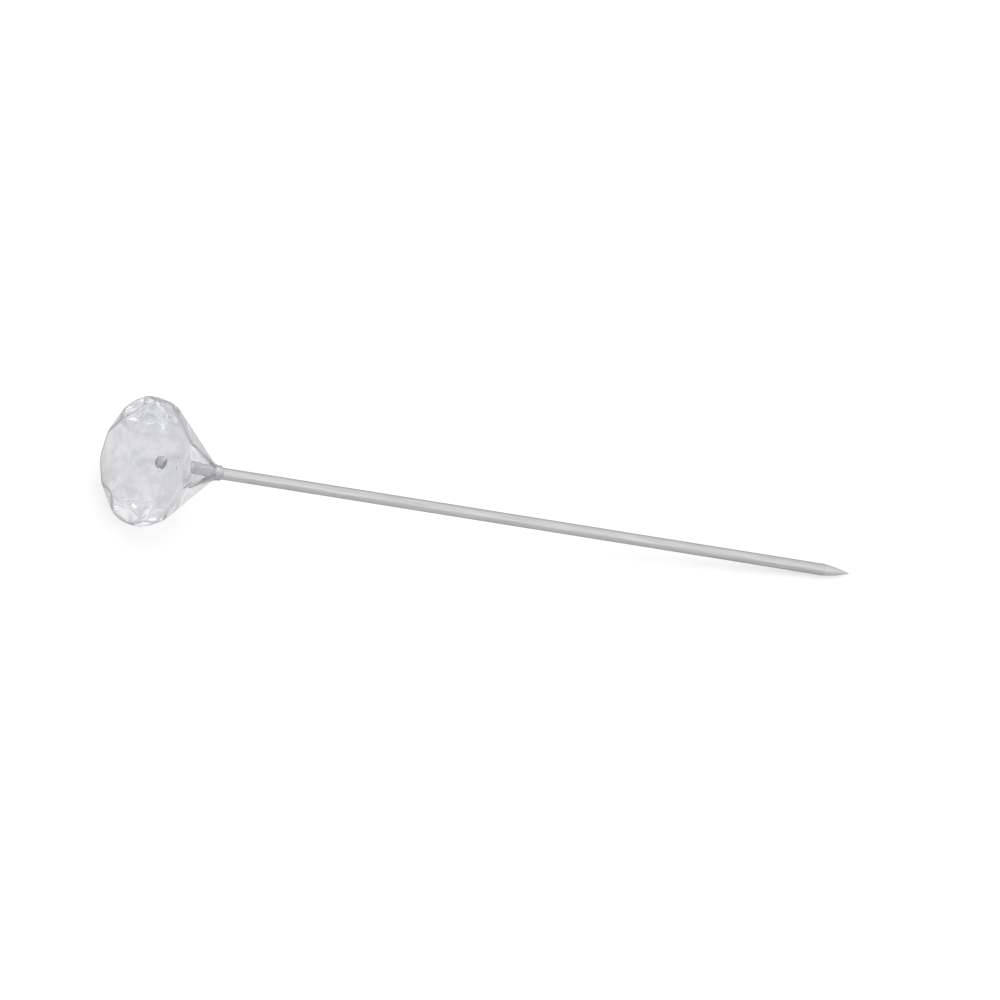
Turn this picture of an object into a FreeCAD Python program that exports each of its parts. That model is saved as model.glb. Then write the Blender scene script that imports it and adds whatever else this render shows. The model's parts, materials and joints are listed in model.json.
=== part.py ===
import FreeCAD, Part
import math
import os
from FreeCAD import Base

# Straight pin: a drawn wire shank with a ground point, and a clear moulded head cut like a brilliant.
# Sizes are in millimetres. Heights run along the pin's own axis: 0 at the neck, where the wire enters the
# head, and upwards to the table. The last section lays the finished pin down as it comes to rest.

# Whole pin
overall_length = 63.5

# Head
pavilion_height = 5.75
girdle_height = 1.15
crown_height = 1.85
girdle_apothem = 4.8
table_corner_radius = 2.75
pavilion_break_depth = 0.75
crown_break_height = 0.78
main_count = 8

# Collar: the short sleeve of acrylic round the wire, and the hollow flare that joins it to the pavilion
collar_wall = 0.12
collar_length = 0.55
collar_rim_radius = 0.06
flare_radius = 1.4
flare_inset = 0.03

# Wire
wire_diameter = 0.9
wire_embedded_length = 4.45
wire_end_chamfer = 0.08
point_length = 2.3
point_end_diameter = 0.06
point_fullness = 0.05

# Worked out from the sizes above
wire_radius = wire_diameter / 2
point_end_radius = point_end_diameter / 2
collar_radius = wire_radius + collar_wall
girdle_low = pavilion_height
girdle_high = pavilion_height + girdle_height
head_length = pavilion_height + girdle_height + crown_height
neck_to_tip = overall_length - head_length
neck_to_shoulder = neck_to_tip - point_length
main_step = 2 * math.pi / main_count
flat_step = main_step / 2
half_flat = flat_step / 2
girdle_corner_radius = girdle_apothem / math.cos(half_flat)


def profile_point(radius, height):
    """A point of a turned profile."""
    return Base.Vector(radius, 0, height)


def line(start, end):
    return Part.LineSegment(start, end).toShape()


def arc(start, middle, end):
    return Part.Arc(start, middle, end).toShape()


def turned(edges):
    """The solid that a closed profile sweeps round the pin's axis."""
    return Part.Face(Part.Wire(edges)).revolve(Base.Vector(0, 0, 0), Base.Vector(0, 0, 1), 360)


def ring(radius, height, count, first_angle):
    """The corners on one level of the head, evenly spaced round the axis."""
    angles = [first_angle + 2 * math.pi * i / count for i in range(count)]
    return [Base.Vector(radius * math.cos(a), radius * math.sin(a), height) for a in angles]


def facet(*corners):
    """One flat facet through its corners."""
    return Part.Face(Part.makePolygon(list(corners) + [corners[0]]))


def radius_on(start, end, height):
    """Radius at a height, on the straight line through two (radius, height) pairs."""
    share = (height - start[1]) / (end[1] - start[1])
    return start[0] + share * (end[0] - start[0])


def cut_stone():
    """The brilliant: pavilion mains and breaks, girdle flats, crown breaks, kites, stars and table.

    A pavilion main runs from the collar to a corner of the girdle, and a kite from a corner of the
    table to the girdle's corner below it. Two neighbouring mains and the two breaks beside them meet
    in one point, and so do two kites, two crown breaks and a star.
    """
    collar_end = (collar_radius, collar_length)
    low_corner = (girdle_corner_radius, girdle_low)
    high_corner = (girdle_corner_radius, girdle_high)
    table_corner = (table_corner_radius, head_length)
    pavilion_meet_height = girdle_low - pavilion_break_depth
    crown_meet_height = girdle_high + crown_break_height
    spread = 1 / math.cos(main_step / 2)
    neck_radius = radius_on(collar_end, low_corner, 0) * spread
    pavilion_meet_radius = radius_on(collar_end, low_corner, pavilion_meet_height) * spread
    crown_meet_radius = radius_on(table_corner, high_corner, crown_meet_height) * spread

    neck = ring(neck_radius, 0, main_count, flat_step)
    pavilion_meets = ring(pavilion_meet_radius, pavilion_meet_height, main_count, flat_step)
    low_girdle = ring(girdle_corner_radius, girdle_low, 2 * main_count, 0)
    high_girdle = ring(girdle_corner_radius, girdle_high, 2 * main_count, 0)
    crown_meets = ring(crown_meet_radius, crown_meet_height, main_count, flat_step)
    table = ring(table_corner_radius, head_length, main_count, 0)

    facets = [facet(*neck), facet(*table)]
    for i in range(main_count):
        following = (i + 1) % main_count
        facets.append(facet(neck[i - 1], neck[i], pavilion_meets[i], low_girdle[2 * i], pavilion_meets[i - 1]))
        facets.append(facet(table[i], crown_meets[i], high_girdle[2 * i], crown_meets[i - 1]))
        facets.append(facet(table[i], table[following], crown_meets[i]))
        for j in (2 * i, 2 * i + 1):
            k = (j + 1) % (2 * main_count)
            facets.append(facet(low_girdle[j], low_girdle[k], pavilion_meets[i]))
            facets.append(facet(high_girdle[j], high_girdle[k], crown_meets[i]))
            facets.append(facet(low_girdle[j], low_girdle[k], high_girdle[k], high_girdle[j]))
    stone = Part.Solid(Part.Shell(facets))
    if stone.Volume < 0:
        stone.reverse()
    return stone


def collar():
    """The sleeve round the wire: a rounded rim, a straight wall, and a hollow flare into the pavilion.

    The flare is an arc tangent to the wall and to a line just inside the pavilion's mains, so that it
    runs out into them.
    """
    flank = math.atan2(girdle_corner_radius - collar_radius, girdle_low - collar_length)
    bend_height = collar_length + flare_inset / math.tan(flank)
    run = flare_radius * math.tan(flank / 2)
    rim_turn = math.pi / 4
    base = profile_point(0, 0)
    rim_start = profile_point(collar_radius - collar_rim_radius, 0)
    rim_middle = profile_point(
        collar_radius - collar_rim_radius * (1 - math.sin(rim_turn)),
        collar_rim_radius * (1 - math.cos(rim_turn)),
    )
    rim_end = profile_point(collar_radius, collar_rim_radius)
    flare_start = profile_point(collar_radius, bend_height - run)
    flare_middle = profile_point(
        collar_radius + flare_radius * (1 - math.cos(flank / 2)),
        bend_height - run + flare_radius * math.sin(flank / 2),
    )
    flare_end = profile_point(collar_radius + run * math.sin(flank), bend_height + run * math.cos(flank))
    top = profile_point(0, flare_end.z)
    return turned([
        line(base, rim_start),
        arc(rim_start, rim_middle, rim_end),
        line(rim_end, flare_start),
        arc(flare_start, flare_middle, flare_end),
        line(flare_end, top),
        line(top, base),
    ])


def wire():
    """The shank: a straight wire whose chamfered rear end stands in the head, ground to a full, blunt point."""
    rear = profile_point(0, wire_embedded_length)
    chamfer_end = profile_point(wire_radius - wire_end_chamfer, wire_embedded_length)
    chamfer_start = profile_point(wire_radius, wire_embedded_length - wire_end_chamfer)
    neck = profile_point(wire_radius, 0)
    shoulder = profile_point(wire_radius, -neck_to_shoulder)
    point_end = profile_point(point_end_radius, -neck_to_tip)
    tip = profile_point(0, -neck_to_tip)
    chord = point_end - shoulder
    outward = Base.Vector(-chord.z, 0, chord.x).normalize()
    point_middle = shoulder + chord * 0.5 + outward * point_fullness
    return turned([
        line(rear, chamfer_end),
        line(chamfer_end, chamfer_start),
        line(chamfer_start, neck),
        line(neck, shoulder),
        arc(shoulder, point_middle, point_end),
        line(point_end, tip),
        line(tip, rear),
    ])


def head(inserted_wire):
    """The stone and its collar, moulded round the wire."""
    return cut_stone().fuse(collar()).cut(inserted_wire)


def resting_tilt():
    """Angle between the axis and the surface when the lower edge of a girdle flat and the point carry the pin."""
    to_shoulder = math.atan2(girdle_apothem - wire_radius, girdle_low + neck_to_shoulder)
    to_tip = math.atan2(girdle_apothem - point_end_radius, girdle_low + neck_to_tip)
    return min(to_shoulder, to_tip)


def lay_down(shape):
    """Turn a girdle flat to the bottom, then lay the axis along X with the point at +X, resting on Z = 0."""
    tilt = resting_tilt()
    neck_height = girdle_apothem * math.cos(tilt) - girdle_low * math.sin(tilt)
    head_reach = head_length * math.cos(tilt) + table_corner_radius * math.cos(half_flat) * math.sin(tilt)
    tip_reach = neck_to_tip * math.cos(tilt) + point_end_radius * math.sin(tilt)
    flat_down = Base.Rotation(Base.Vector(0, 0, 1), math.degrees(half_flat))
    tip_over = Base.Rotation(Base.Vector(0, 1, 0), math.degrees(tilt) - 90)
    laid = shape.copy()
    laid.Placement = Base.Placement(
        Base.Vector((head_reach - tip_reach) / 2, 0, neck_height),
        tip_over.multiply(flat_down),
    )
    return laid


def main():
    os.makedirs("parts", exist_ok=True)
    shank = wire()
    pieces = {
        "wire_shank": shank,
        "faceted_head": head(shank),
    }
    for name, shape in pieces.items():
        laid = lay_down(shape)
        laid.exportStep("parts/" + name + ".step")
        print(name, "valid", laid.isValid(), "solids", len(laid.Solids), "volume", round(laid.Volume, 3))


main()
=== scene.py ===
import json
import math

import bmesh
import bpy
import numpy as np
from bpy.props import FloatProperty, FloatVectorProperty, IntProperty, PointerProperty
from mathutils import Matrix, Vector


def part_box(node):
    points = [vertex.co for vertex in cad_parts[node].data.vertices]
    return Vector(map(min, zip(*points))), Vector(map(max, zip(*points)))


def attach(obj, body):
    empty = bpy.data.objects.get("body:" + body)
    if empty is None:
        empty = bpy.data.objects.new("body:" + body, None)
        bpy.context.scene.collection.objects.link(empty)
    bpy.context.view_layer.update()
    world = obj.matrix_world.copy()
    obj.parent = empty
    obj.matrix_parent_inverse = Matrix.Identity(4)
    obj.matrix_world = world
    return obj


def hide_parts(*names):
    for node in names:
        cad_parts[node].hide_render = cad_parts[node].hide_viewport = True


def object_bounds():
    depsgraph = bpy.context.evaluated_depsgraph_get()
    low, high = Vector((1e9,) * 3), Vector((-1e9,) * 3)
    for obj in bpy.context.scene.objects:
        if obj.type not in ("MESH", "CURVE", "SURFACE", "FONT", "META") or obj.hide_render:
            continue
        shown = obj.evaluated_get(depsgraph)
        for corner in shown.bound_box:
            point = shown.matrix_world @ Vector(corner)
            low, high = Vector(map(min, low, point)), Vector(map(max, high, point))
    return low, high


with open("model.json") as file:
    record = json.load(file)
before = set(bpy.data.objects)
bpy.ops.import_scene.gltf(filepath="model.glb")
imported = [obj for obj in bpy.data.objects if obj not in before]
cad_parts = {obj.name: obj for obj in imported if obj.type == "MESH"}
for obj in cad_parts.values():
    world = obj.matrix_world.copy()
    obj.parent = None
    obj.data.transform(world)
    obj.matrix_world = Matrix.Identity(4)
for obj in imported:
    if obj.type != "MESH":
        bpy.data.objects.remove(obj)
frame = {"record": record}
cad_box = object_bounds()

bl_info = {
    "name": "Straight pin with a faceted head",
    "version": (1, 0, 0),
    "blender": (4, 5, 0),
    "location": "View3D > Sidebar > Pin",
    "description": "Builds a steel pin with a clear moulded head cut like a brilliant, and its stage",
    "category": "Object",
}

# Shapes are worked out in millimetres in the pin's own coordinates: z runs up the axis, 0 at the neck
# and upwards to the table, x points to the upper side of the lying pin, and y runs across it.
MM = 0.001

# How finely the surfaces are divided
ROUNDING_STEPS = 4
RIM_ROWS = 6
NECK_ROWS = 24
WIRE_COLUMNS = 96
POINT_ROWS = 40
SHANK_ROWS = 59

# Rows of points in the bore: its end, the foot of the end's chamfer, and its mouth
BORE_ROWS = 3

# Where points stand on a main's seat, as shares of the way from one crease to the next. They keep to the
# middle, so that the roundings have room at the creases.
SEAT_STOPS = (0.0, 0.33, 0.42, 0.5, 0.58, 0.67)

# How far the passage between the flare and the mains is eased, in millimetres
NECK_EASE = 0.008

# Crest of a surface that only begins to bend, such as the edge of a rounding or the turned neck
JUST_BENT = 0.3

# Patterns of the materials: features to the metre, and for the steel across and along the pin
FLOW, RIPPLE, SCUFFS = 900, 700, 6000
DRAW_LINES = (9000, 9000, 260)
GROUND_RINGS = (500, 500, 30000)
FLOOR_GRAIN = 900

# Depths of their relief, and the length over which one finish of the wire passes into the next, in metres
RIPPLE_DEPTH = 0.00003
SCUFF_DEPTH = 0.0000008
STEEL_DEPTH = 0.000004
PASSAGE = 0.00006

# Spans of a pattern's strength over which flow streaks, scuffs and the steel's marks show
STREAK_SPAN = (0.45, 0.68)
SCUFF_SPAN = (0.4, 0.75)
MARK_SPAN = (0.35, 0.65)

# Painted shade on the acrylic's rounded edges: the span of the crest that shows as a painted dark line, and
# how strong that line is. Then the spans of the facing, from 0 straight on to 1 edge on, over which painted
# shade darkens a rounding and any surface.
LINE_SPAN, LINE_STRENGTH = (0.2, 1), 0.12
TURNING_SPAN = (0.45, 0.7)
GLANCING_SPAN = (0.72, 0.97)

# Roughness of the acrylic and of the steel, from the weakest to the strongest scuff or drawn line
CLEAR_ROUGHNESS = (0, 0.06)
STEEL_ROUGHNESS = (0.40, 0.28)

# The floor grain's darker colour, as a share of the floor's own
GRAIN_SHADE = 0.985

# The room changes over these heights of a direction, from 0 at the horizon to 1 overhead
FOOT_TO_WALL = (0.02, 0.15)
WALL_TO_CEILING = (0.2, 0.7)

# Softboxes that face the pin: name, place and size in metres, and power in watts
SOFTBOXES = (
    ("overhead", (-0.12, 0.38, 0.78), (0.9, 0.9), 1.4),
    ("front", (0.35, -0.62, 0.48), (0.9, 0.7), 0.3),
)

# Nearest and farthest that the camera sees, in metres
CLIP_START, CLIP_END = 0.01, 20.0


def mount(name):
    """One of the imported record's mounts, by name."""
    return next(m for m in frame["record"]["mounts"] if m["name"] == name)


# Taken from the frame: the bare wire between neck and shoulder, the middle of the table, and the head's box
bare_wire = mount("shank")
table_middle = Vector(mount("table")["pos_m"])
bare_length = bare_wire["dims"]["length_mm"] * MM
to_point = Vector(bare_wire["axis"]).normalized()
neck = Vector(bare_wire["pos_m"]) - to_point * bare_length / 2
head_low, head_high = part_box("faceted_head")


def pin_place():
    """The matrix from the pin's own millimetres to the part's frame."""
    along = -to_point
    across = Vector((0, 1, 0))
    upper = across.cross(along).normalized()
    turn = Matrix((upper, across, along)).transposed().to_4x4()
    return Matrix.Translation(neck) @ turn @ Matrix.Scale(MM, 4)


def length(name, description, default):
    """A setting that is a length in metres."""
    return FloatProperty(
        name=name, description=description, default=default, min=0, precision=5, unit="LENGTH"
    )


def degrees(name, description, default):
    """A setting that is an angle in degrees."""
    return FloatProperty(name=name, description=description, default=default, precision=1)


def colour(name, description, default):
    """A setting that is a colour."""
    return FloatVectorProperty(
        name=name, description=description, default=default, min=0, max=1, size=3, subtype="COLOR"
    )


def share(name, description, default, most=1.0):
    """A setting that is a plain number from 0 to its most."""
    return FloatProperty(name=name, description=description, default=default, min=0, max=most, precision=3)


class PinHeadSettings(bpy.types.PropertyGroup):
    """Sizes and finish of the moulded head."""

    main_count: IntProperty(name="Mains", description="Pavilion mains round the head", default=8, min=3)
    pavilion_height: length("Pavilion height", "Neck to the lower corners of the girdle", 0.00575)
    girdle_height: length("Girdle height", "Height of the upright girdle flats", 0.00115)
    girdle_apothem: length(
        "Girdle apothem", "Axis to the middle of a girdle flat", (head_high.y - head_low.y) / 2
    )
    table_height: length("Table height", "Neck to the table", (table_middle - neck).length)
    table_corner_radius: length("Table corner radius", "Axis to a corner of the table", 0.00275)
    pavilion_break_depth: length("Pavilion break depth", "How far the breaks reach below the girdle", 0.00075)
    crown_break_height: length("Crown break height", "How far the breaks reach above the girdle", 0.00078)
    edge_rounding: length("Edge rounding", "Width of a moulded edge's rounding, on each facet", 0.00026)
    collar_wall: length("Collar wall", "Acrylic round the wire at the neck", 0.00012)
    collar_length: length("Collar length", "Height at which the mains would meet the collar", 0.00055)
    collar_rim_radius: length("Collar rim radius", "Rounding of the collar's end", 0.00006)
    flare_radius: length("Flare radius", "Hollow between the collar and the mains", 0.00140)
    flare_inset: length("Flare inset", "How far inside the mains the flare runs out", 0.00003)
    seat_height: length("Seat height", "Level at which the neck passes into the flat mains", 0.00125)
    bore_depth: length("Bore depth", "How far the wire stands in the head", 0.00445)
    wetting: length("Wetting", "How far the bore reaches into the wire, so that both touch all over", 0.00001)
    tint: colour("Tint", "Colour of the clear acrylic", (0.99, 0.995, 1.0))
    haze: colour("Haze", "Colour of its faint flow streaks", (0.76, 0.77, 0.795))
    # Painted shade: the dark colour that the acrylic is darkened towards along its crests and where it is
    # seen edge on.
    painted_edge_shade: colour("Painted edge shade", "Colour of the painted shade along its crests and grazing edges", (0.24, 0.24, 0.25))
    refraction: share("Refractive index", "Refractive index of acrylic", 1.49, 3.0)


class PinWireSettings(bpy.types.PropertyGroup):
    """Sizes and finish of the wire."""

    diameter: length("Diameter", "Diameter of the wire", 2 * bare_wire["dims"]["r_mm"] * MM)
    bare_length: length("Bare length", "Neck to the shoulder of the point", bare_length)
    end_chamfer: length("End chamfer", "Chamfer of the rear end", 0.00008)
    point_length: length("Point length", "Shoulder to the end of the point", 0.0023)
    point_end_diameter: length("Point end diameter", "Width of the blunt end of the point", 0.00006)
    point_fullness: length("Point fullness", "How far the ground point bulges beyond a cone", 0.00005)
    steel: colour("Steel", "Colour of the drawn wire", (0.74, 0.74, 0.745))
    draw_marks: colour("Draw marks", "Colour of the darker lines along it", (0.60, 0.60, 0.605))
    grazing: colour("Grazing", "Share of the shine that is left at the wire's edges", (0.62, 0.62, 0.63))
    ground: colour("Ground steel", "Colour of the freshly ground point", (0.78, 0.78, 0.785))
    cut_end: colour("Cut end", "Colour of the sheared rear end inside the head", (0.62, 0.62, 0.63))


class PinStageSettings(bpy.types.PropertyGroup):
    """The floor, the light and the camera."""

    floor_width: length("Floor width", "Side of the square floor", 8.0)
    floor_gap: length("Floor gap", "Hair's breadth between the floor and the pin", 0.00001)
    floor_colour: colour("Floor", "Colour of the floor", (0.65, 0.65, 0.655))
    background_lift: share("Background lift", "Light added to the background where the camera sees it", 0.48)
    mirrored_lift: share("Mirrored lift", "Part of that light which shows in reflections", 0.06)
    clear_lift: share("Clear lift", "Part of that light which shows through the acrylic", 0.31)
    ceiling: colour("Ceiling", "Colour of the room overhead", (0.92, 0.92, 0.93))
    walls: colour("Walls", "Colour of the room's walls", (0.66, 0.66, 0.67))
    horizon: colour("Horizon", "Colour of the walls' foot", (0.28, 0.28, 0.285))
    azimuth: degrees("Azimuth", "Camera round the pin", -37.6)
    elevation: degrees("Elevation", "Camera above the floor", 46.7)
    roll: degrees("Roll", "Camera about its own view", 35.5)
    distance: length("Distance", "Camera to the middle of the pin", 0.743)
    light_turns: IntProperty(
        name="Light turns", description="How often light may turn in the head", default=24
    )
    lens: FloatProperty(name="Lens", description="Focal length in millimetres", default=355.0, precision=1)


def ring(radius, height, count, first):
    """Corners on one level: corner i stands at the angle first + 2 pi i / count, radius and height alike."""
    angle = first + 2 * math.pi * np.arange(count) / count
    return np.column_stack((radius * np.cos(angle), radius * np.sin(angle), np.full(count, height)))


def line_radius(start, end, height):
    """Radius at a height on the straight line through two (radius, height) pairs."""
    return start[0] + (end[0] - start[0]) * (height - start[1]) / (end[1] - start[1])


def millimetres(settings):
    """The length settings of a group as plain millimetres, by name."""
    names = [p.identifier for p in settings.bl_rna.properties if getattr(p, "unit", "") == "LENGTH"]
    return {name: getattr(settings, name) / MM for name in names}


def brilliant(size, count):
    """The cut stone above its seat, with sharp edges: its corners and its facets.

    A corner is a ring's radius and height turned to its angle. Mains and kites stand over the girdle's even
    corners, breaks and stars between them. A main's line runs from the collar to the girdle's corner, a
    kite's from the table's corner to the girdle's, and where two neighbours meet, the radius is the line's
    divided by the cosine of half a step.
    """
    step = 2 * math.pi / count
    turn = step / 4
    between = turn + step / 2
    corner_radius = size["girdle_apothem"] / math.cos(turn)
    low, high = size["pavilion_height"], size["pavilion_height"] + size["girdle_height"]
    main_line = (size["collar_radius"], size["collar_length"]), (corner_radius, low)
    kite_line = (size["table_corner_radius"], size["table_height"]), (corner_radius, high)
    spread = 1 / math.cos(step / 2)
    meet_height = low - size["pavilion_break_depth"]
    crown_height = high + size["crown_break_height"]

    seat_height = size["seat_height"]
    creases = ring(line_radius(*main_line, seat_height) * spread, seat_height, count, between)
    stops = np.array(SEAT_STOPS)
    following = np.roll(creases, -1, axis=0)
    seat = creases[:, None] + (following - creases)[:, None] * stops[None, :, None]
    rings = [
        seat.reshape(-1, 3),
        ring(line_radius(*main_line, meet_height) * spread, meet_height, count, between),
        ring(corner_radius, low, 2 * count, turn),
        ring(corner_radius, high, 2 * count, turn),
        ring(line_radius(*kite_line, crown_height) * spread, crown_height, count, between),
        ring(size["table_corner_radius"], size["table_height"], count, turn),
    ]
    meet, below, above, crown, table = np.cumsum([len(r) for r in rings])[:-1]
    i = np.arange(count)
    j = np.arange(2 * count)
    before, after, beside = (i - 1) % count, (i + 1) % count, (j + 1) % (2 * count)
    side = (len(stops) * before[:, None] + np.arange(len(stops) + 1)) % (len(stops) * count)
    facets = [
        np.column_stack((side, meet + i, below + 2 * i, meet + before)),
        np.column_stack((meet + j // 2, below + beside, below + j)),
        np.column_stack((below + j, below + beside, above + beside, above + j)),
        np.column_stack((above + j, above + beside, crown + j // 2)),
        np.column_stack((above + 2 * i, crown + i, table + i, crown + before)),
        np.column_stack((crown + i, table + after, table + i)),
        (table + i)[None],
    ]
    return np.concatenate(rings), [f for group in facets for f in group.tolist()]


def rounded(points, faces, width, segments):
    """The same surface with each edge between two faces rounded: points, faces, rim and crest.

    A rounding is an arc that leaves both faces tangentially, at the width from the edge. The rim numbers
    the open side's points by angle about the axis. The crest is 0 at a flat facet's points, JUST_BENT on
    the row of a rounding that is next to them, and 1 along its middle.
    """
    mesh = bpy.data.meshes.new("rounding")
    mesh.from_pydata(points.tolist(), [], faces)
    work = bmesh.new()
    work.from_mesh(mesh)
    inner = [e for e in work.edges if len(e.link_faces) == 2]
    bmesh.ops.bevel(
        work, geom=inner, offset=width, offset_type="OFFSET", segments=segments, profile=0.5,
        affect="EDGES", clamp_overlap=True, material=1,
    )
    work.to_mesh(mesh)
    work.free()
    co = np.zeros(3 * len(mesh.vertices))
    mesh.vertices.foreach_get("co", co)
    co = co.reshape(-1, 3)
    new_faces = [list(p.vertices) for p in mesh.polygons]
    on_edge = np.zeros(len(new_faces), int)
    mesh.polygons.foreach_get("material_index", on_edge)
    crest = np.ones(len(co))
    crest[np.concatenate([f for f, bent in zip(new_faces, on_edge) if not bent])] = 0
    crest[np.concatenate([f for f in new_faces if crest[f].min() == 0])] *= JUST_BENT
    sides = np.concatenate([np.column_stack((f, np.roll(f, -1))) for f in new_faces])
    sides.sort(axis=1)
    pairs, uses = np.unique(sides, axis=0, return_counts=True)
    rim = np.unique(pairs[uses == 1])
    rim = rim[np.argsort(np.arctan2(co[rim, 1], co[rim, 0]))]
    bpy.data.meshes.remove(mesh)
    return co, new_faces, rim, crest


def flare_radius_at(height, size):
    """Outer radius of the turned neck at each height.

    From the end up: a quarter circle for the rim, the collar's straight wall, a hollow arc that starts
    tangent to the wall, and a straight flank that runs just inside the mains.
    """
    collar, rim, bend = size["collar_radius"], size["collar_rim_radius"], size["flare_radius"]
    flank = size["flank"]
    bend_height = size["collar_length"] + size["flare_inset"] / math.tan(flank)
    start = bend_height - bend * math.tan(flank / 2)
    end = start + bend * math.sin(flank)
    on_rim = collar - rim + np.sqrt(np.clip(rim**2 - (rim - height) ** 2, 0, None))
    on_arc = collar + bend - np.sqrt(np.clip(bend**2 - (height - start) ** 2, 0, None))
    on_flank = collar + (height - bend_height) * math.tan(flank)
    rising = np.where(height < start, collar, np.where(height < end, on_arc, on_flank))
    return np.where(height < rim, on_rim, rising)


def neck_rows(rim_points, size):
    """The bore and the neck as rows of points, from the bore's end down to its mouth and up to the seat.

    A row is a height, with the angles of the seat's points. Its radius is the bore's, or else the greater of
    the flare's radius f and the radius o of the mains' rounded octagon at that height, with the passage
    between them eased: (o + f) / 2 + root((o - f)^2 / 4 + ease^2). The ease grows with the square of the
    height, up to the collar's length.
    """
    angle = np.arctan2(rim_points[:, 1], rim_points[:, 0])
    radius = np.hypot(rim_points[:, 0], rim_points[:, 1])
    bore = size["wire_radius"] - size["wetting"]
    depth = size["bore_depth"] - size["wetting"]
    chamfer = size["end_chamfer"]
    turns = np.linspace(0, math.pi / 2, RIM_ROWS)
    rim_heights = size["collar_rim_radius"] * (1 - np.cos(turns))
    neck_heights = np.linspace(size["collar_rim_radius"], size["seat_height"], NECK_ROWS + 2)[1:-1]
    heights = np.concatenate((rim_heights, neck_heights))
    mains = size["collar_radius"] + (heights - size["collar_length"]) * math.tan(size["flank"])
    at_seat = size["collar_radius"] + (size["seat_height"] - size["collar_length"]) * math.tan(size["flank"])
    octagon = radius[None, :] * (mains / at_seat)[:, None]
    flare = flare_radius_at(heights, size)[:, None]
    ease = NECK_EASE * np.clip(heights / size["collar_length"], 0, 1)[:, None] ** 2
    outer = (octagon + flare) / 2 + np.sqrt((octagon - flare) ** 2 / 4 + ease**2)
    inner_radii = np.array((bore - chamfer, bore, bore))
    inner_heights = np.array((depth, depth - chamfer, 0))
    radii = np.concatenate((np.repeat(inner_radii[:, None], len(angle), axis=1), outer))
    levels = np.concatenate((inner_heights, heights))[:, None] + np.zeros(len(angle))
    return np.stack((radii * np.cos(angle), radii * np.sin(angle), levels), axis=-1)


def between_rows(rows):
    """Quads between neighbouring rows of point numbers that close on themselves round the axis."""
    lower, upper = rows[:-1], rows[1:]
    quads = np.stack((lower, np.roll(lower, -1, axis=1), np.roll(upper, -1, axis=1), upper), axis=-1)
    return quads.reshape(-1, 4).tolist()


def head_mesh(size, count):
    """The whole head as one closed surface, the rounded stone, the neck below it and the bore, and its crest.

    The crest on the neck is JUST_BENT + (seat's crest - JUST_BENT) (height / seat's height)^2, and 0 in the
    bore.
    """
    points, facets = brilliant(size, count)
    points, faces, rim, crest = rounded(points, facets, size["edge_rounding"], ROUNDING_STEPS)
    rows = neck_rows(points[rim], size)
    near_seat = np.clip(rows[..., 2] / size["seat_height"], 0, 1) ** 2
    neck_crest = JUST_BENT + (crest[rim] - JUST_BENT) * near_seat
    neck_crest[:BORE_ROWS] = 0
    first = len(points)
    numbers = first + np.arange(rows.shape[0] * rows.shape[1]).reshape(rows.shape[:2])
    bottom = numbers.max() + 1
    faces += between_rows(np.vstack((numbers, rim[None])))
    end = numbers[0]
    faces += np.column_stack((np.full(len(end), bottom), np.roll(end, -1), end)).tolist()
    centre = np.array(((0, 0, rows[0, 0, 2]),))
    crest = np.concatenate((crest, neck_crest.ravel(), (0,)))
    return np.concatenate((points, rows.reshape(-1, 3), centre)), faces, crest


def turned(profile, columns):
    """A turned solid: point j of row i is the row's radius turned by 2 pi j / columns, at the row's height.

    The profile's first and last rows are closed to a point on the axis.
    """
    angle = 2 * math.pi * np.arange(columns) / columns
    radius, height = profile[:, 0, None], profile[:, 1, None]
    grid = np.stack((radius * np.cos(angle), radius * np.sin(angle), height + 0 * angle), axis=-1)
    numbers = np.arange(len(profile) * columns).reshape(len(profile), columns)
    low, high = numbers.size, numbers.size + 1
    faces = between_rows(numbers)
    faces += np.column_stack((np.roll(numbers[0], -1), numbers[0], np.full(columns, low))).tolist()
    faces += np.column_stack((numbers[-1], np.roll(numbers[-1], -1), np.full(columns, high))).tolist()
    poles = np.array(((0, 0, profile[0, 1]), (0, 0, profile[-1, 1])))
    return np.concatenate((grid.reshape(-1, 3), poles)), faces


def unwrapped(profile, columns):
    """The turned solid's UV map, corner by corner: turns round the axis, and turns' lengths along it.

    Quads come first, row by row, then the two ends' triangles, each with its third corner on the axis.
    """
    turn = np.arange(columns) / columns
    ahead = turn + 1 / columns
    along = profile[:, 1] / (2 * math.pi * profile[:, 0].max())
    around = np.broadcast_to(np.stack((turn, ahead, ahead, turn), axis=-1), (len(profile) - 1, columns, 4))
    steps = np.stack((along[:-1], along[:-1], along[1:], along[1:]), axis=-1)
    quads = np.stack((around, np.broadcast_to(steps[:, None], around.shape)), axis=-1)
    start = np.stack((ahead, turn, (turn + ahead) / 2), axis=-1)
    ends = [
        np.stack((start, np.full(start.shape, along[0])), axis=-1),
        np.stack((start[:, (1, 0, 2)], np.full(start.shape, along[-1])), axis=-1),
    ]
    return np.concatenate((quads.reshape(-1, 2), ends[0].reshape(-1, 2), ends[1].reshape(-1, 2)))


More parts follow.
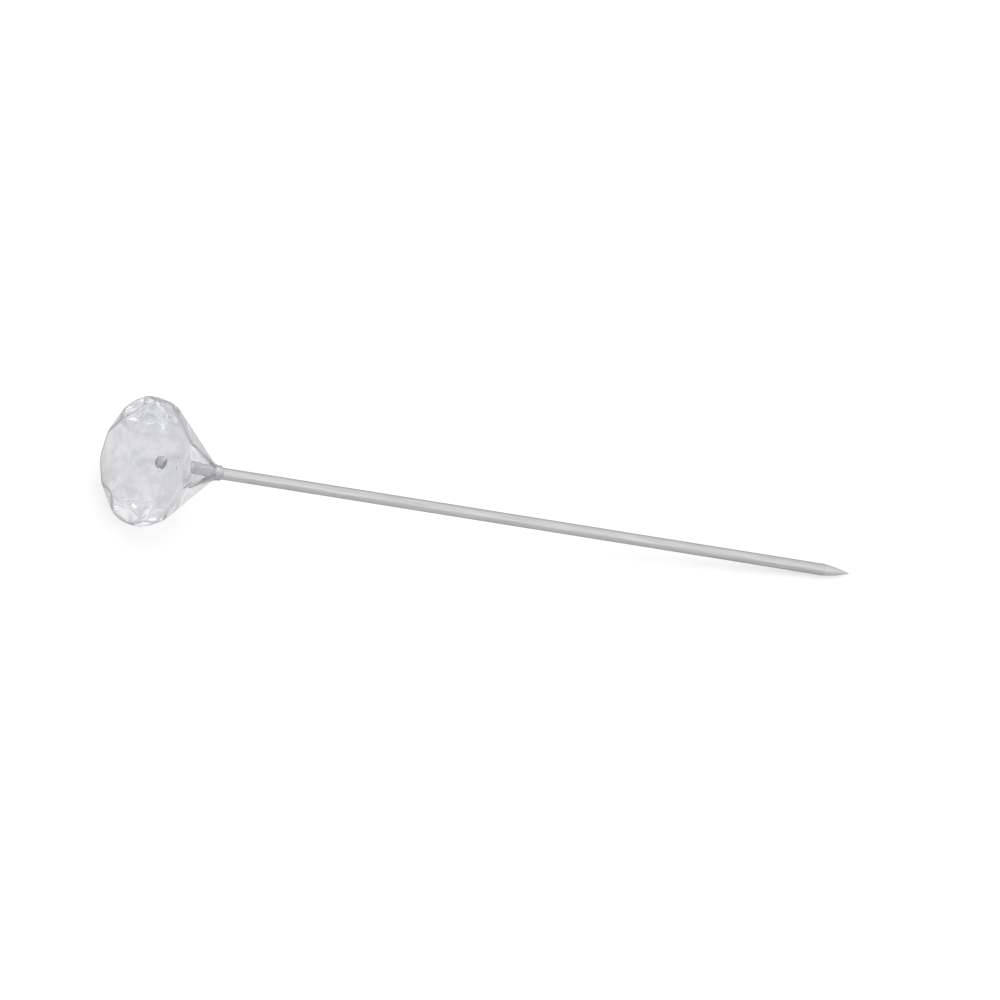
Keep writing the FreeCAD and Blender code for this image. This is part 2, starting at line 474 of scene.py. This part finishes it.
def wire_profile(size):
    """Radius and height of the wire's outline, from the point's end to the rear end.

    The ogive is the arc through its two ends whose middle bulges out of the chord by the fullness b: with
    half a chord h, its radius is (h^2 + b^2) / 2 b.
    """
    radius = size["diameter"] / 2
    blunt = size["point_end_diameter"] / 2
    shoulder, tip = -size["bare_length"], -size["bare_length"] - size["point_length"]
    start, end = np.array((blunt, tip)), np.array((radius, shoulder))
    chord = end - start
    half = np.linalg.norm(chord) / 2
    outward = np.array((chord[1], -chord[0])) / (2 * half)
    bulge = size["point_fullness"]
    arc_radius = (half**2 + bulge**2) / (2 * bulge)
    across = np.linspace(-1, 1, POINT_ROWS) * half
    rise = np.sqrt(arc_radius**2 - across**2) - (arc_radius - bulge)
    ogive = (start + end) / 2 + across[:, None] * chord / (2 * half) + rise[:, None] * outward
    rear, chamfer = size["bore_depth"], size["end_chamfer"]
    wall = np.linspace(shoulder, rear - chamfer, SHANK_ROWS + 1)[1:]
    straight = np.column_stack((np.full(len(wall), radius), wall))
    return np.concatenate((ogive, straight, [(radius - chamfer, rear)]))


def new_object(name, points, faces, place):
    """A smooth-shaded mesh object with its place in its points, so that the object stays at the origin."""
    mesh = bpy.data.meshes.new(name)
    mesh.from_pydata(points.tolist(), [], faces)
    mesh.transform(place)
    mesh.polygons.foreach_set("use_smooth", np.ones(len(mesh.polygons), bool))
    made = bpy.data.objects.new(name, mesh)
    bpy.context.scene.collection.objects.link(made)
    return made


def new_material(name):
    """An empty material with a Principled shader, and its node tree and shader."""
    material = bpy.data.materials.new(name)
    material.use_nodes = True
    tree = material.node_tree
    return material, tree, tree.nodes["Principled BSDF"]


def node(tree, kind, **values):
    """A new node with some of its properties set."""
    made = tree.nodes.new(kind)
    for name, value in values.items():
        setattr(made, name, value)
    return made


def on_the_pin(tree):
    """Object coordinates turned to the pin, in metres: z along its axis, 0 at the neck."""
    coordinates = node(tree, "ShaderNodeTexCoord")
    made = node(tree, "ShaderNodeMapping", vector_type="TEXTURE")
    made.inputs["Location"].default_value = neck
    made.inputs["Rotation"].default_value = pin_place().to_euler()
    tree.links.new(coordinates.outputs["Object"], made.inputs["Vector"])
    return made.outputs["Vector"]


def scaled(tree, vector, scale):
    """The vector times a scale along each axis, for a pattern with that many features to the metre."""
    made = node(tree, "ShaderNodeMapping", vector_type="POINT")
    made.inputs["Scale"].default_value = scale
    tree.links.new(vector, made.inputs["Vector"])
    return made.outputs["Vector"]


def noise(tree, vector, scale, detail, roughness=0.5):
    """A cloudy pattern's strength at the vector, from 0 to 1."""
    made = node(tree, "ShaderNodeTexNoise")
    made.inputs["Scale"].default_value = scale
    made.inputs["Detail"].default_value = detail
    made.inputs["Roughness"].default_value = roughness
    tree.links.new(vector, made.inputs["Vector"])
    return made.outputs["Fac"]


def spread_over(tree, value, low, high, out_low, out_high):
    """The value carried from one span to another, and kept inside it."""
    made = node(tree, "ShaderNodeMapRange")
    for name, number in zip(("From Min", "From Max", "To Min", "To Max"), (low, high, out_low, out_high)):
        made.inputs[name].default_value = number
    tree.links.new(value, made.inputs["Value"])
    return made.outputs["Result"]


def mixed_colour(tree, factor, first, second):
    """The first colour where the factor is 0 and the second where it is 1, each a setting or a socket."""
    made = node(tree, "ShaderNodeMix", data_type="RGBA")
    tree.links.new(factor, made.inputs["Factor"])
    for socket, value in ((made.inputs["A"], first), (made.inputs["B"], second)):
        if isinstance(value, bpy.types.NodeSocket):
            tree.links.new(value, socket)
        else:
            socket.default_value = (*value, 1)
    return made.outputs["Result"]


def math_node(tree, operation, first, second):
    """An operation on two sockets."""
    made = node(tree, "ShaderNodeMath", operation=operation)
    tree.links.new(first, made.inputs[0])
    tree.links.new(second, made.inputs[1])
    return made.outputs[0]


def bump(tree, height, depth, under=None):
    """Relief of the given depth from a height between 0 and 1, on top of the relief under it."""
    made = node(tree, "ShaderNodeBump")
    made.inputs["Strength"].default_value = 1
    made.inputs["Distance"].default_value = depth
    tree.links.new(height, made.inputs["Height"])
    if under is not None:
        tree.links.new(under, made.inputs["Normal"])
    return made.outputs["Normal"]


def acrylic(settings):
    """Clear moulded acrylic: faint flow streaks in its colour, a soft ripple from the mould, and fine scuffs.

    Painted shade darkens its colour towards the painted edge shade: faintly along each crest, and fully where
    a rounding turns away from the view or where any surface is seen almost edge on.
    """
    material, tree, shader = new_material("moulded_acrylic")
    pin_vector = on_the_pin(tree)
    flow = noise(tree, pin_vector, FLOW, 3, 0.55)
    ripple = noise(tree, pin_vector, RIPPLE, 2)
    scuffs = noise(tree, pin_vector, SCUFFS, 6, 0.7)
    crest = node(tree, "ShaderNodeAttribute", attribute_name="crest").outputs["Fac"]
    weight = node(tree, "ShaderNodeLayerWeight")
    weight.inputs["Blend"].default_value = 0.5
    facing = weight.outputs["Facing"]
    # Painted shade: a dark line along each crest, and the roundings and surfaces seen edge on darkened
    # towards the painted edge shade, all mixed into the colour.
    painted_crest_line = spread_over(tree, crest, *LINE_SPAN, 0, LINE_STRENGTH)
    bent = spread_over(tree, crest, 0, JUST_BENT, 0, 1)
    turning = math_node(tree, "MULTIPLY", bent, spread_over(tree, facing, *TURNING_SPAN, 0, 1))
    glancing = spread_over(tree, facing, *GLANCING_SPAN, 0, 1)
    outline = math_node(tree, "MAXIMUM", painted_crest_line, math_node(tree, "MAXIMUM", turning, glancing))
    streaks = spread_over(tree, flow, *STREAK_SPAN, 0, 1)
    body = mixed_colour(tree, streaks, settings.tint, settings.haze)
    tree.links.new(mixed_colour(tree, outline, body, settings.painted_edge_shade), shader.inputs["Base Color"])
    tree.links.new(spread_over(tree, scuffs, *SCUFF_SPAN, *CLEAR_ROUGHNESS), shader.inputs["Roughness"])
    rippled = bump(tree, ripple, RIPPLE_DEPTH)
    tree.links.new(bump(tree, scuffs, SCUFF_DEPTH, rippled), shader.inputs["Normal"])
    shader.inputs["Transmission Weight"].default_value = 1
    shader.inputs["IOR"].default_value = settings.refraction
    return material


def drawn_steel(settings, rear_height):
    """Satin drawn wire, ground at the point and sheared at the rear end.

    Fine lines run along the shank and rings round the point, in colour and relief. The lines show in the
    roughness too, and the sheared end inside the head has a plain colour.
    """
    material, tree, shader = new_material("drawn_steel")
    pin_vector = on_the_pin(tree)
    lines = noise(tree, scaled(tree, pin_vector, DRAW_LINES), 1, 4, 0.65)
    rings = noise(tree, scaled(tree, pin_vector, GROUND_RINGS), 1, 3, 0.6)
    split = node(tree, "ShaderNodeSeparateXYZ")
    tree.links.new(pin_vector, split.inputs["Vector"])
    height = split.outputs["Z"]
    shoulder = -settings.bare_length
    on_point = spread_over(tree, height, shoulder + PASSAGE, shoulder - PASSAGE, 0, 1)
    cut = rear_height - settings.end_chamfer
    on_cut = spread_over(tree, height, cut - PASSAGE, cut, 0, 1)
    marks = spread_over(tree, lines, *MARK_SPAN, 0, 1)
    drawn = mixed_colour(tree, marks, settings.draw_marks, settings.steel)
    marks = spread_over(tree, rings, *MARK_SPAN, 0, 1)
    ground = mixed_colour(tree, marks, settings.steel, settings.ground)
    whole = mixed_colour(tree, on_point, drawn, ground)
    tree.links.new(mixed_colour(tree, on_cut, whole, settings.cut_end), shader.inputs["Base Color"])
    tree.links.new(spread_over(tree, lines, 0.3, 0.7, *STEEL_ROUGHNESS), shader.inputs["Roughness"])
    relief = node(tree, "ShaderNodeMix", data_type="FLOAT")
    tree.links.new(on_point, relief.inputs["Factor"])
    tree.links.new(lines, relief.inputs["A"])
    tree.links.new(rings, relief.inputs["B"])
    tree.links.new(bump(tree, relief.outputs["Result"], STEEL_DEPTH), shader.inputs["Normal"])
    shader.inputs["Metallic"].default_value = 1
    shader.inputs["Specular Tint"].default_value = (*settings.grazing, 1)
    shader.inputs["Anisotropic"].default_value = 0.5
    around = node(tree, "ShaderNodeTangent", direction_type="UV_MAP", uv_map="around")
    tree.links.new(around.outputs["Tangent"], shader.inputs["Tangent"])
    return material


class PIN_OT_wire(bpy.types.Operator):
    """Build the steel wire: chamfered rear end, straight shank and ground point"""

    bl_idname = "pin.wire"
    bl_label = "Wire"

    def execute(self, context):
        settings = context.scene.pin_wire
        size = millimetres(settings)
        size["bore_depth"] = context.scene.pin_head.bore_depth / MM
        profile = wire_profile(size)
        points, faces = turned(profile, WIRE_COLUMNS)
        wire = new_object("pin_wire", points, faces, pin_place())
        uv = wire.data.uv_layers.new(name="around")
        uv.uv.foreach_set("vector", unwrapped(profile, WIRE_COLUMNS).ravel())
        wire.data.materials.append(drawn_steel(settings, context.scene.pin_head.bore_depth))
        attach(wire, "root")
        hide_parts("wire_shank")
        return {"FINISHED"}


def head_sizes(head, wire):
    """The head's sizes in millimetres, with those that it takes from the wire, and its flank's angle."""
    size = millimetres(head)
    size["wire_radius"] = wire.diameter / 2 / MM
    size["end_chamfer"] = wire.end_chamfer / MM
    size["collar_radius"] = size["wire_radius"] + size["collar_wall"]
    corner_radius = size["girdle_apothem"] / math.cos(math.pi / 2 / head.main_count)
    rise = size["pavilion_height"] - size["collar_length"]
    size["flank"] = math.atan2(corner_radius - size["collar_radius"], rise)
    return size


class PIN_OT_head(bpy.types.Operator):
    """Build the clear moulded head: brilliant cut, collar with its flare, and the bore that holds the wire"""

    bl_idname = "pin.head"
    bl_label = "Head"

    def execute(self, context):
        settings = context.scene.pin_head
        size = head_sizes(settings, context.scene.pin_wire)
        points, faces, crest = head_mesh(size, settings.main_count)
        head = new_object("pin_head", points, faces, pin_place())
        head.data.attributes.new("crest", "FLOAT", "POINT").data.foreach_set("value", crest)
        even = head.modifiers.new("flat_facets", "WEIGHTED_NORMAL")
        even.mode = "FACE_AREA"
        head.data.materials.append(acrylic(settings))
        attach(head, "root")
        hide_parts("faceted_head")
        return {"FINISHED"}


def seen_share(tree, settings):
    """The share of the lift that a ray sees.

    It is 1 straight from the camera, and the settings' parts by way of steel or through acrylic.
    """
    path = node(tree, "ShaderNodeLightPath")
    seen = path.outputs["Is Camera Ray"]
    parts = {"Is Glossy Ray": settings.mirrored_lift, "Is Transmission Ray": settings.clear_lift}
    for ray, part in parts.items():
        added = node(tree, "ShaderNodeMath", operation="MULTIPLY_ADD", use_clamp=True)
        tree.links.new(path.outputs[ray], added.inputs[0])
        added.inputs[1].default_value = part
        tree.links.new(seen, added.inputs[2])
        seen = added.outputs[0]
    return seen


def floor_material(settings):
    """Pale matt floor that keeps the pin's shadow, lifted to white where the camera sees it."""
    material, tree, shader = new_material("pale_floor")
    coordinates = node(tree, "ShaderNodeTexCoord")
    grain = noise(tree, coordinates.outputs["Object"], FLOOR_GRAIN, 3)
    base = tuple(settings.floor_colour)
    deeper = tuple(GRAIN_SHADE * c for c in base)
    tree.links.new(mixed_colour(tree, grain, deeper, base), shader.inputs["Base Color"])
    shader.inputs["Roughness"].default_value = 1
    shader.inputs["Specular IOR Level"].default_value = 0
    strength = node(tree, "ShaderNodeMath", operation="MULTIPLY")
    tree.links.new(seen_share(tree, settings), strength.inputs[0])
    strength.inputs[1].default_value = settings.background_lift
    shader.inputs["Emission Color"].default_value = (1, 1, 1, 1)
    tree.links.new(strength.outputs[0], shader.inputs["Emission Strength"])
    return material


def light_room(settings):
    """The world: a bright ceiling, duller walls with a darker foot, and white in place of it all by the share
    of the lift that a ray sees.
    """
    world = bpy.data.worlds.new("studio")
    bpy.context.scene.world = world
    world.use_nodes = True
    tree = world.node_tree
    background = tree.nodes["Background"]
    coordinates = node(tree, "ShaderNodeTexCoord")
    split = node(tree, "ShaderNodeSeparateXYZ")
    tree.links.new(coordinates.outputs["Generated"], split.inputs["Vector"])
    up = spread_over(tree, split.outputs["Z"], *WALL_TO_CEILING, 0, 1)
    foot = spread_over(tree, split.outputs["Z"], *FOOT_TO_WALL, 0, 1)
    above = mixed_colour(tree, up, settings.walls, settings.ceiling)
    room = mixed_colour(tree, foot, settings.horizon, above)
    seen = mixed_colour(tree, seen_share(tree, settings), room, (1, 1, 1))
    tree.links.new(seen, background.inputs["Color"])
    background.inputs["Strength"].default_value = 1


def softbox(name, place, size, power):
    """An area lamp that faces the pin's middle on the floor."""
    lamp = bpy.data.lights.new(name, "AREA")
    lamp.shape = "RECTANGLE"
    lamp.size, lamp.size_y = size
    lamp.energy = power
    made = bpy.data.objects.new(name, lamp)
    made.location = place
    made.rotation_euler = (-Vector(place)).to_track_quat("-Z", "Y").to_euler()
    bpy.context.scene.collection.objects.link(made)


def camera_turn(azimuth, elevation, roll):
    """The direction from the pin to the camera, and the camera's rotation, rolled about its view."""
    level = math.cos(elevation)
    back = Vector((math.sin(azimuth) * level, -math.cos(azimuth) * level, math.sin(elevation)))
    right = Vector((math.cos(azimuth), math.sin(azimuth), 0))
    up = back.cross(right)
    rolled_right = math.cos(roll) * right + math.sin(roll) * up
    rolled_up = math.cos(roll) * up - math.sin(roll) * right
    return back, Matrix((rolled_right, rolled_up, back)).transposed()


class PIN_OT_stage(bpy.types.Operator):
    """Build the pale floor, the soft light and the camera"""

    bl_idname = "pin.stage"
    bl_label = "Stage"

    def execute(self, context):
        settings = context.scene.pin_stage
        half = settings.floor_width / 2
        corners = np.array(((-half, -half), (half, -half), (half, half), (-half, half)))
        points = np.column_stack((corners, np.full(4, -settings.floor_gap)))
        floor = new_object("floor", points, [[0, 1, 2, 3]], Matrix.Identity(4))
        floor.data.materials.append(floor_material(settings))
        light_room(settings)
        for box in SOFTBOXES:
            softbox(*box)

        low, high = cad_box
        angles = (math.radians(a) for a in (settings.azimuth, settings.elevation, settings.roll))
        back, turn = camera_turn(*angles)
        lens = bpy.data.cameras.new("camera")
        lens.lens = settings.lens
        lens.clip_start, lens.clip_end = CLIP_START, CLIP_END
        camera = bpy.data.objects.new("camera", lens)
        camera.location = (low + high) / 2 + back * settings.distance
        camera.rotation_euler = turn.to_euler()
        context.scene.collection.objects.link(camera)
        context.scene.camera = camera
        context.scene.view_settings.view_transform = "Standard"
        paths = context.scene.cycles
        paths.max_bounces = paths.glossy_bounces = paths.transmission_bounces = settings.light_turns
        return {"FINISHED"}


class PIN_PT_panel(bpy.types.Panel):
    """The pin's pieces and their sizes"""

    bl_idname = "PIN_PT_panel"
    bl_label = "Straight pin"
    bl_space_type = "VIEW_3D"
    bl_region_type = "UI"
    bl_category = "Pin"

    def draw(self, context):
        for operator, group in STEPS:
            box = self.layout.box()
            box.operator(operator.bl_idname)
            settings = getattr(context.scene, group)
            for name in settings.__annotations__:
                box.prop(settings, name)


STEPS = ((PIN_OT_wire, "pin_wire"), (PIN_OT_head, "pin_head"), (PIN_OT_stage, "pin_stage"))
GROUPS = {"pin_wire": PinWireSettings, "pin_head": PinHeadSettings, "pin_stage": PinStageSettings}
CLASSES = (*GROUPS.values(), PIN_OT_wire, PIN_OT_head, PIN_OT_stage, PIN_PT_panel)


def register():
    """Register the classes, and put their settings on the scene."""
    for cls in CLASSES:
        bpy.utils.register_class(cls)
    for name, group in GROUPS.items():
        setattr(bpy.types.Scene, name, PointerProperty(type=group))


def unregister():
    """Take the settings off the scene, and unregister the classes."""
    for name in GROUPS:
        delattr(bpy.types.Scene, name)
    for cls in reversed(CLASSES):
        bpy.utils.unregister_class(cls)


def main():
    """Build everything in order."""
    register()
    bpy.ops.pin.wire()
    bpy.ops.pin.head()
    bpy.ops.pin.stage()


if __name__ == "__main__":
    main()
